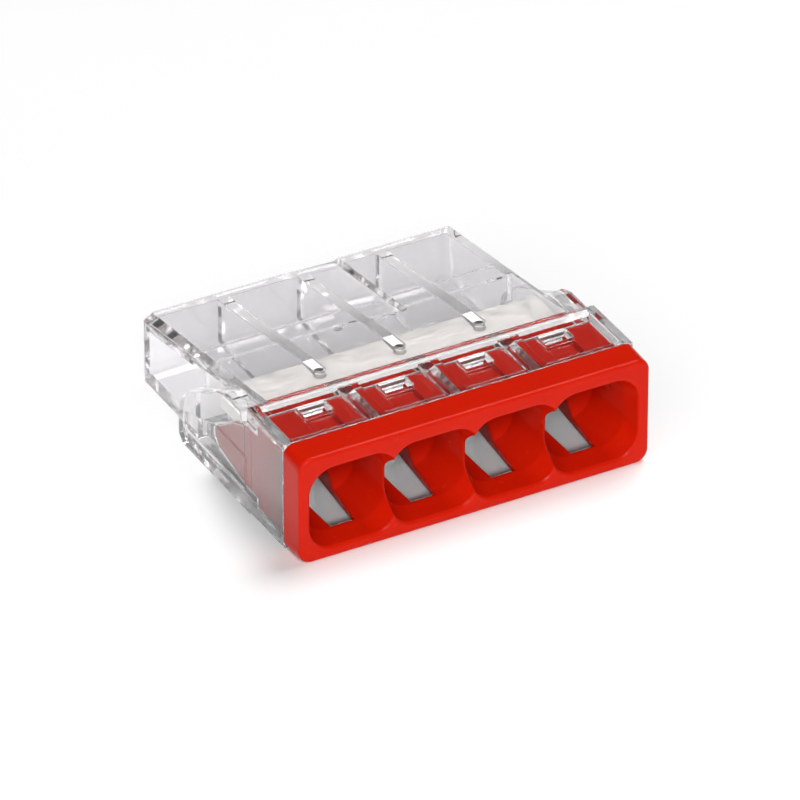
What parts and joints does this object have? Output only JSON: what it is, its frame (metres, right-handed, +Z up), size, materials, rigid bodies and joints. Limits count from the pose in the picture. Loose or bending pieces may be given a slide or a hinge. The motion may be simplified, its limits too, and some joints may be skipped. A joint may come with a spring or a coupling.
{
  "type": "push-in wire connector",
  "caption": "Compact push-in splicing connector for solid wires: clear plastic housing, red front cover with funnel entries, test slots on top, sprung clamps inside.",
  "frame": {"origin": "middle of the bottom face", "axes": "+X across the entries from left to right seen from the entries, +Y from the entries to the rear, +Z up"},
  "size_m": [0.0174, 0.0166, 0.0054],
  "materials": {
    "clear_housing": "polished clear",
    "red_cover": "gloss",
    "tinned_bar": "tin plated",
    "spring_steel": "bright rolled"
  },
  "bodies": {
    "connector": {"housing": "clear_housing", "front_cover": "red_cover", "current_bar": "tinned_bar", "spring_leg_1": "spring_steel", "spring_leg_2": "spring_steel", "spring_leg_3": "spring_steel", "spring_leg_4": "spring_steel"},
    "tongue_1": {"spring_tongue_1": "spring_steel"},
    "tongue_2": {"spring_tongue_2": "spring_steel"},
    "tongue_3": {"spring_tongue_3": "spring_steel"},
    "tongue_4": {"spring_tongue_4": "spring_steel"}
  },
  "joints": [
    {"name": "tongue_1_flex", "type": "hinge", "parent": "connector", "child": "tongue_1", "pos_m": [-0.006, -0.00246, 0.00117], "axis": [-1, 0, 0], "range_deg": [0, 36], "stiffness_Nm_per_rad": 0.04},
    {"name": "tongue_2_flex", "type": "hinge", "parent": "connector", "child": "tongue_2", "pos_m": [-0.002, -0.00246, 0.00117], "axis": [-1, 0, 0], "range_deg": [0, 36], "stiffness_Nm_per_rad": 0.04},
    {"name": "tongue_3_flex", "type": "hinge", "parent": "connector", "child": "tongue_3", "pos_m": [0.002, -0.00246, 0.00117], "axis": [-1, 0, 0], "range_deg": [0, 36], "stiffness_Nm_per_rad": 0.04},
    {"name": "tongue_4_flex", "type": "hinge", "parent": "connector", "child": "tongue_4", "pos_m": [0.006, -0.00246, 0.00117], "axis": [-1, 0, 0], "range_deg": [0, 36], "stiffness_Nm_per_rad": 0.04}
  ]
}
